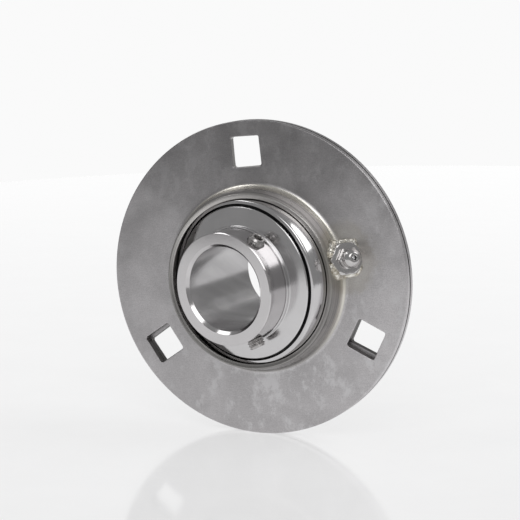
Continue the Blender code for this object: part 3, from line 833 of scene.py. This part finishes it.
def turning_marks(tree, coords, density, drift=0.15):
    """Fine tool marks that run round the piece, with a slow change along each."""
    radius, height, angle = cylinder_coords(tree, coords)
    across = maths(tree, "MULTIPLY", radius, density)
    along = maths(tree, "MULTIPLY", height, density)
    around = maths(tree, "MULTIPLY", maths(tree, "SINE", angle), drift)
    place = node(tree, "ShaderNodeCombineXYZ", {0: across, 1: along, 2: around}).outputs[0]
    return noise_of(tree, place, 1.0, 5.0, 0.7)


# ---------------------------------------------------------------- materials
# Base colours, linear.
SHEET_COLOUR = (0.425, 0.413, 0.419, 1.0)
STAIN_COLOUR = (0.76, 0.75, 0.76, 1.0)
DRAWN_COLOUR = (0.45, 0.438, 0.425, 1.0)
# Cream of the painted highlight at the bulge's foot.
FOOT_HIGHLIGHT_COLOUR = (0.90, 0.87, 0.79, 1.0)
STRAW_COLOUR = (0.60, 0.57, 0.47, 1.0)
BROWN_COLOUR = (0.36, 0.30, 0.26, 1.0)
# Painted shade and painted light for the holes' sheared walls: dark in the lower half, pale in the upper half.
SHADED_WALL_COLOUR = (0.10, 0.095, 0.093, 1.0)
LIT_WALL_COLOUR = (0.50, 0.49, 0.48, 1.0)
# Painted shade for the seam between the two plates.
JOINT_SHADE_COLOUR = (0.045, 0.043, 0.042, 1.0)
HONED_COLOUR = (0.57, 0.56, 0.565, 1.0)
OXIDE_COLOUR = (0.50, 0.46, 0.38, 1.0)
WELD_COLOUR = (0.90, 0.88, 0.82, 1.0)
RUBBER_COLOUR = (0.010, 0.010, 0.011, 1.0)
DUST_COLOUR = (0.022, 0.022, 0.023, 1.0)


def punched_walls(tree, parts, height):
    """One on the sheared walls of the three square holes, nothing elsewhere."""
    near = 0.0
    turn = maths(tree, "MULTIPLY", maths(tree, "LESS_THAN", height, 0.0), -REAR_TURN)
    place = node(tree, "ShaderNodeCombineXYZ", {0: parts[0], 1: parts[1], 2: 0.0}).outputs[0]
    turned = node(tree, "ShaderNodeVectorRotate", {"Vector": place, "Angle": turn}, rotation_type="Z_AXIS")
    flat = node(tree, "ShaderNodeSeparateXYZ", {0: turned.outputs[0]}).outputs
    for angle in HOLE_ANGLES:
        cosine, sine = math.cos(angle), math.sin(angle)
        along = maths(tree, "ADD", maths(tree, "MULTIPLY", flat[0], cosine), maths(tree, "MULTIPLY", flat[1], sine))
        across = maths(
            tree, "SUBTRACT", maths(tree, "MULTIPLY", flat[1], cosine), maths(tree, "MULTIPLY", flat[0], sine),
        )
        along = maths(tree, "ABSOLUTE", maths(tree, "SUBTRACT", along, HOLE_CIRCLE * MM))
        reach = maths(tree, "MAXIMUM", along, maths(tree, "ABSOLUTE", across))
        wall = between(tree, reach, (HOLE_SIDE / 2 + 0.16) * MM, (HOLE_SIDE / 2 + 0.06) * MM)
        near = maths(tree, "MAXIMUM", wall, near)
    depth = maths(tree, "ABSOLUTE", height)
    return product(tree, near, between(tree, depth, (PLATE_FACE - 0.25) * MM, (PLATE_FACE - 0.45) * MM))


def rolled_tone_and_painted_light(tree, parts, clouds, grain, specks):
    """Brightness of the flat sheet: cloudy, grained and speckled, with painted light that makes it darker at the top
    and paler at the right.
    """
    # Painted light: the sheet's tone falls towards the top and rises towards the right.
    painted_light_fall = maths(tree, "ADD", maths(tree, "MULTIPLY", parts[0], 0.10), parts[1])
    return product(
        tree,
        between(tree, clouds, 0.30, 0.72, 0.88, 1.09),
        between(tree, grain, 0.25, 0.75, 0.94, 1.06),
        between(tree, specks, 0.25, 0.75, 0.88, 1.12),
        between(tree, painted_light_fall, 0.050, 0.014, 0.85, 1.32),
        between(tree, parts[0], 0.020, 0.050, 1.0, 1.16),
    )


def stain_share(tree, parts, stains):
    """Pickling stains: few at the upper left, most at the lower right."""
    slant = maths(tree, "SUBTRACT", maths(tree, "MULTIPLY", parts[0], 0.75), parts[1])
    lower_right = between(tree, slant, -0.015, 0.050)
    amount = maths(tree, "ADD", maths(tree, "MULTIPLY", lower_right, 0.75), 0.2)
    return product(tree, between(tree, stains, 0.49, 0.62), amount)


def drawn_lines_and_painted_light(tree, parts, lines):
    """Bulge's colour: drawing lines that run round it, and painted light that makes it paler at the top."""
    tone = between(tree, lines, 0.36, 0.64, 0.58, 1.26)
    # Painted light: the bulge is made paler towards its top.
    tone = product(tree, tone, between(tree, parts[1], 0.010, 0.030, 1.0, 1.30))
    return scaled_colour(tree, DRAWN_COLOUR, tone)


def painted_foot_highlight(tree, parts, depth):
    """Painted highlight: a cream band where the bulge leaves the flange, strongest at the upper right."""
    band_start = between(tree, depth, (PLATE_FACE + 0.15) * MM, (PLATE_FACE + 0.5) * MM)
    band_end = between(tree, depth, (PLATE_FACE + 3.2) * MM, (PLATE_FACE + 1.6) * MM)
    slant = maths(tree, "ADD", parts[0], maths(tree, "MULTIPLY", parts[1], 1.2))
    return product(tree, band_start, band_end, between(tree, slant, -0.02, 0.03))


def heat_tinted(tree, coords, stains, colour):
    """Colour with straw next to the weld and a faint brown ring around that."""
    foot = housing_axes.inverted() @ fitting_foot
    offset = node(tree, "ShaderNodeVectorMath", {0: coords, 1: tuple(foot)}, operation="SUBTRACT").outputs[0]
    away = node(tree, "ShaderNodeVectorMath", {0: offset}, operation="LENGTH").outputs["Value"]
    uneven = maths(tree, "MULTIPLY", maths(tree, "SUBTRACT", stains, 0.5), 0.014)
    away = maths(tree, "ADD", away, uneven)
    straw = product(tree, between(tree, away, 0.0150, 0.0085), 0.30)
    colour = mixed(tree, straw, colour, STRAW_COLOUR)
    brown = product(tree, between(tree, away, 0.0088, 0.0105), between(tree, away, 0.0125, 0.0112), 0.10)
    return mixed(tree, brown, colour, BROWN_COLOUR)


def pressed_sheet():
    """Matt rolled stainless sheet: pickling stains, faint rolling grain, pressing sheen and weld heat tint, with
    painted light: a highlight at the bulge's foot, shade in the hole walls and the plates' seam, and a tone that falls
    over the flange and the bulge.
    """
    material, tree, shader, coords = metal("pressed_sheet")
    radius, height, _ = cylinder_coords(tree, coords)
    parts = node(tree, "ShaderNodeSeparateXYZ", {0: coords}).outputs
    depth = maths(tree, "ABSOLUTE", height)
    clouds = noise_of(tree, coords, 55.0, 4.0, 0.6, 0.4)
    stains = noise_of(tree, stretched(tree, coords, (1.0, 0.7, 1.0)), 130.0, 8.0, 0.74, 0.15)
    grain = noise_of(tree, stretched(tree, coords, (520.0, 5200.0, 900.0)), 1.0, 4.0, 0.7)
    specks = noise_of(tree, coords, 2600.0, 2.0, 0.6)
    lines = turning_marks(tree, coords, 2600.0, 0.25)

    stained = stain_share(tree, parts, stains)
    on_bulge = between(tree, radius, 0.0385, 0.0368)
    drawn = product(tree, on_bulge, between(tree, depth, PLATE_FACE * MM, (PLATE_FACE + 0.5) * MM))
    # Painted shade: the seam between the plates at the rim is darkened nearly to black.
    joint = between(tree, depth, (PLATE_BACK + 0.42) * MM, (PLATE_BACK + 0.18) * MM)
    joint = product(tree, joint, between(tree, radius, 0.0552, 0.0556))
    upper_half = between(tree, parts[1], 0.0, 0.03)

    colour = scaled_colour(tree, SHEET_COLOUR, rolled_tone_and_painted_light(tree, parts, clouds, grain, specks))
    colour = mixed(tree, product(tree, stained, 0.85), colour, STAIN_COLOUR)
    colour = mixed(tree, drawn, colour, drawn_lines_and_painted_light(tree, parts, lines))
    # Painted highlight at the bulge's foot.
    colour = mixed(tree, product(tree, painted_foot_highlight(tree, parts, depth), 0.9), colour, FOOT_HIGHLIGHT_COLOUR)
    colour = heat_tinted(tree, coords, stains, colour)
    # Painted shade on the hole walls in the lower half, painted light on those in the upper half.
    painted_wall_light = mixed(tree, upper_half, SHADED_WALL_COLOUR, LIT_WALL_COLOUR)
    colour = mixed(tree, punched_walls(tree, parts, height), colour, painted_wall_light)
    colour = mixed(tree, joint, colour, JOINT_SHADE_COLOUR)

    rough = between(tree, clouds, 0.3, 0.7, 0.37, 0.45)
    rough = maths(tree, "SUBTRACT", rough, product(tree, drawn, 0.13))
    rough = maths(tree, "ADD", rough, product(tree, stained, 0.05))
    rough = maths(tree, "ADD", rough, product(tree, joint, 0.25))
    normal = bumped(tree, grain, 0.20, 0.00002)
    normal = bumped(tree, specks, 0.34, 0.00003, normal)
    normal = bumped(tree, clouds, 0.10, 0.0006, normal)
    normal = bumped(tree, product(tree, lines, drawn), 0.45, 0.00006, normal)
    plug(tree, shader, colour, rough, normal)
    return material


def turned_steel(name, base, rough, marks=26000.0, depth=0.10, honed_bore=0.0):
    """Ground or turned steel: tool marks that run round the piece and a slight, uneven polish.

    With a bore's radius, in millimetres, the bore is duller and shows honing streaks on a slant.
    """
    material, tree, shader, coords = metal(name)
    lines = turning_marks(tree, coords, marks)
    handled = noise_of(tree, coords, 120.0, 4.0, 0.6, 0.3)
    tone = product(tree, between(tree, lines, 0.3, 0.7, 0.97, 1.03), between(tree, handled, 0.3, 0.7, 0.97, 1.02))
    colour = scaled_colour(tree, (*base, 1.0), tone)
    roughness = maths(
        tree, "ADD", between(tree, handled, 0.3, 0.75, rough * 0.86, rough * 1.2),
        between(tree, lines, 0.3, 0.7, -0.02, 0.02),
    )
    if honed_bore:
        radius, height, angle = cylinder_coords(tree, coords)
        inside = between(tree, radius, (honed_bore + 0.25) * MM, (honed_bore + 0.05) * MM)
        spiral = maths(tree, "ADD", maths(tree, "MULTIPLY", angle, 2.2), maths(tree, "MULTIPLY", height, 90.0))
        place = node(tree, "ShaderNodeCombineXYZ", {0: spiral, 1: maths(tree, "MULTIPLY", height, 25.0), 2: 0.0})
        streaks = noise_of(tree, place.outputs[0], 1.0, 3.0, 0.5, 0.2)
        honed = scaled_colour(tree, HONED_COLOUR, between(tree, streaks, 0.3, 0.7, 0.90, 1.08))
        colour = mixed(tree, inside, colour, honed)
        roughness = maths(tree, "ADD", roughness, product(tree, inside, 0.10))
    plug(tree, shader, colour, roughness, bumped(tree, lines, depth, 0.00001))
    return material


def weld_steel():
    """Weld metal: bright crests, straw and brown oxide in the hollows between ripples."""
    material, tree, shader, coords = metal("weld_steel")
    patches = noise_of(tree, coords, 420.0, 5.0, 0.65, 0.8)
    fine = noise_of(tree, coords, 2400.0, 4.0, 0.7)
    colour = mixed(tree, between(tree, patches, 0.36, 0.58), OXIDE_COLOUR, WELD_COLOUR)
    rough = between(tree, patches, 0.3, 0.7, 0.42, 0.22)
    normal = bumped(tree, fine, 0.25, 0.00004)
    plug(tree, shader, colour, rough, bumped(tree, patches, 0.35, 0.0002, normal))
    return material


def seal_rubber():
    """Black nitrile rubber, finely grained, with a little dust."""
    material, tree, shader, coords = metal("nitrile_rubber", metallic=0.0)
    grain = noise_of(tree, coords, 2200.0, 4.0, 0.6)
    dust = noise_of(tree, coords, 260.0, 3.0, 0.6)
    colour = mixed(tree, between(tree, dust, 0.5, 0.75, 0.0, 0.5), RUBBER_COLOUR, DUST_COLOUR)
    rough = between(tree, dust, 0.3, 0.7, 0.48, 0.66)
    plug(tree, shader, colour, rough, bumped(tree, grain, 0.25, 0.00004))
    return material


# ---------------------------------------------------------------- build the object
sheet_metal = pressed_sheet()
ring_steel = turned_steel("ring_steel", (0.65, 0.635, 0.64), 0.13, honed_bore=SHAFT_RADIUS)
sphere_steel = turned_steel("sphere_steel", (0.68, 0.67, 0.675), 0.13, marks=34000.0, depth=0.06)
flinger_steel = turned_steel("flinger_steel", (0.70, 0.69, 0.695), 0.17, marks=15000.0, depth=0.05)
nut_steel = turned_steel("nut_steel", (0.64, 0.625, 0.62), 0.20, marks=6000.0, depth=0.45)
bolt_steel = turned_steel("screw_steel", (0.50, 0.485, 0.48), 0.27, marks=7000.0, depth=0.20)
ball_steel = turned_steel("bearing_ball_steel", (0.74, 0.74, 0.75), 0.06, marks=4000.0, depth=0.02)
cage_steel = turned_steel("cage_sheet", (0.52, 0.51, 0.505), 0.30, marks=5000.0, depth=0.15)
weld_metal = weld_steel()
rubber = seal_rubber()

build_plates(sheet_metal)
build_nut(nut_steel)
build_weld("weld_upper", 8, 172, 3.1, weld_metal)
build_weld("weld_lower", 188, 352, 8.4, weld_metal)
build_fitting(nut_steel)
build_check_valve(ball_steel, bolt_steel)
build_rings(ring_steel, sphere_steel)
build_seals_and_flingers(flinger_steel, rubber)
build_balls(ball_steel)
build_cage(cage_steel, bolt_steel)
build_set_screws(bolt_steel)


# ---------------------------------------------------------------- floor, light and camera
# The table top leans sideways with the photo and is shifted in its own plane.
FLOOR_LEAN = math.radians(5.57)
TABLE_RADIUS = 0.60
TABLE_SHIFT = (0.04, 0.30, 0.0)
FLOOR_IOR = 1.40
FLOOR_GLOW = 0.52
FLOOR_COLOUR = (0.40, 0.40, 0.405, 1.0)
WORN_FLOOR_COLOUR = (0.42, 0.42, 0.425, 1.0)

# Room as the part reflects it: its own level, and the level and place of its pale wall.
WHITE = (1.0, 1.0, 1.0, 1.0)
ROOM_LEVEL = 0.27
WALL_LEVEL = 0.50
WALL_AZIMUTH = -156.0
WALL_ELEVATION = 6.0
WALL_REACH = 26.0
BACKDROP_LEVEL = 0.955

# Name, azimuth, elevation, width, height and brightness of each soft light.
SOFTBOXES = (
    ("softbox_front_right", 25, 36, 0.74, 0.56, 1.9),
    ("softbox_right", 112, 40, 0.56, 0.52, 2.2),
    ("softbox_left", -68, 56, 0.42, 0.24, 2.0),
    ("softbox_rear", 158, 26, 0.20, 0.20, 1.3),
)

# Camera at the photo's viewing angle.
CAMERA_AZIMUTH = 23.86
CAMERA_ELEVATION = 7.10
CAMERA_ROLL = math.radians(-5.17)
CAMERA_DISTANCE = 0.660
CAMERA_TARGET = Vector((0.0, 0.0012, 0.0061))
CAMERA_LENS = 128.0


def toward(azimuth, elevation):
    """Unit direction. Azimuth is from the object's front towards its right, in degrees."""
    a, e = math.radians(azimuth), math.radians(elevation)
    return Vector((math.sin(a) * math.cos(e), -math.cos(a) * math.cos(e), math.sin(e)))


def build_floor():
    """White table top. It ends a little in front of the part and well behind it, as the reflections show."""
    up = Vector((math.sin(FLOOR_LEAN), 0.0, math.cos(FLOOR_LEAN)))
    bpy.ops.mesh.primitive_circle_add(vertices=96, radius=TABLE_RADIUS, fill_type="NGON")
    floor = bpy.context.object
    floor.name = "studio_floor"
    level = axes(-up * FLANGE_RADIUS * MM, up, Vector((1, 0, 0)))
    floor.matrix_world = level @ Matrix.Translation(TABLE_SHIFT)
    material, tree, shader, _ = metal(
        "studio_floor_white", metallic=0.0, IOR=FLOOR_IOR, **{"Emission Strength": FLOOR_GLOW},
    )
    shader.inputs["Emission Color"].default_value = WHITE
    coords = node(tree, "ShaderNodeTexCoord").outputs["Object"]
    wear = noise_of(tree, coords, 30.0, 3.0)
    colour = mixed(tree, between(tree, wear, 0.3, 0.7), FLOOR_COLOUR, WORN_FLOOR_COLOUR)
    plug(tree, shader, colour, between(tree, wear, 0.3, 0.7, 0.08, 0.11))
    floor.data.materials.append(material)


def softbox(name, azimuth, elevation, width, height, brightness):
    """Rectangular soft light facing the part from one metre; its brightness is as a mirror shows it."""
    data = bpy.data.lights.new(name, "AREA")
    data.shape = "RECTANGLE"
    data.size, data.size_y = width, height
    data.energy = brightness * math.pi * width * height
    lamp = bpy.data.objects.new(name, data)
    bpy.context.scene.collection.objects.link(lamp)
    direction = toward(azimuth, elevation)
    lamp.location = direction
    lamp.rotation_euler = direction.to_track_quat("Z", "Y").to_euler()
    lamp.visible_camera = False


def build_world():
    """Dim room with a pale wall low down behind the part; the eye sees a white backdrop."""
    world = bpy.data.worlds.new("studio")
    bpy.context.scene.world = world
    world.use_nodes = True
    tree = world.node_tree
    direction = node(tree, "ShaderNodeTexCoord").outputs["Generated"]
    facing = node(
        tree, "ShaderNodeVectorMath", {0: direction, 1: tuple(toward(WALL_AZIMUTH, WALL_ELEVATION))},
        operation="DOT_PRODUCT",
    ).outputs["Value"]
    wall = between(
        tree, facing, math.cos(math.radians(WALL_REACH)), math.cos(math.radians(WALL_REACH / 2)), 0.0, WALL_LEVEL,
    )
    room = tree.nodes["Background"]
    tree.links.new(maths(tree, "ADD", wall, ROOM_LEVEL), room.inputs["Strength"])
    room.inputs["Color"].default_value = WHITE
    white = node(tree, "ShaderNodeBackground", {"Color": WHITE, "Strength": BACKDROP_LEVEL})
    seen = node(tree, "ShaderNodeLightPath").outputs["Is Camera Ray"]
    blend = node(tree, "ShaderNodeMixShader", {0: seen, 1: room.outputs[0], 2: white.outputs[0]})
    tree.links.new(blend.outputs[0], tree.nodes["World Output"].inputs["Surface"])


def build_camera():
    data = bpy.data.cameras.new("photo_camera")
    data.lens = CAMERA_LENS
    data.sensor_width = 36.0
    data.clip_start, data.clip_end = 0.01, 20.0
    camera = bpy.data.objects.new("photo_camera", data)
    bpy.context.scene.collection.objects.link(camera)
    back = toward(CAMERA_AZIMUTH, CAMERA_ELEVATION)
    level = back.to_track_quat("Z", "Y").to_matrix().to_4x4()
    turn = level @ Matrix.Rotation(CAMERA_ROLL, 4, "Z")
    camera.matrix_world = Matrix.Translation(CAMERA_TARGET + back * CAMERA_DISTANCE) @ turn
    bpy.context.scene.camera = camera


build_floor()
build_world()
for light in SOFTBOXES:
    softbox(*light)
build_camera()
bpy.context.scene.view_settings.view_transform = "Standard"
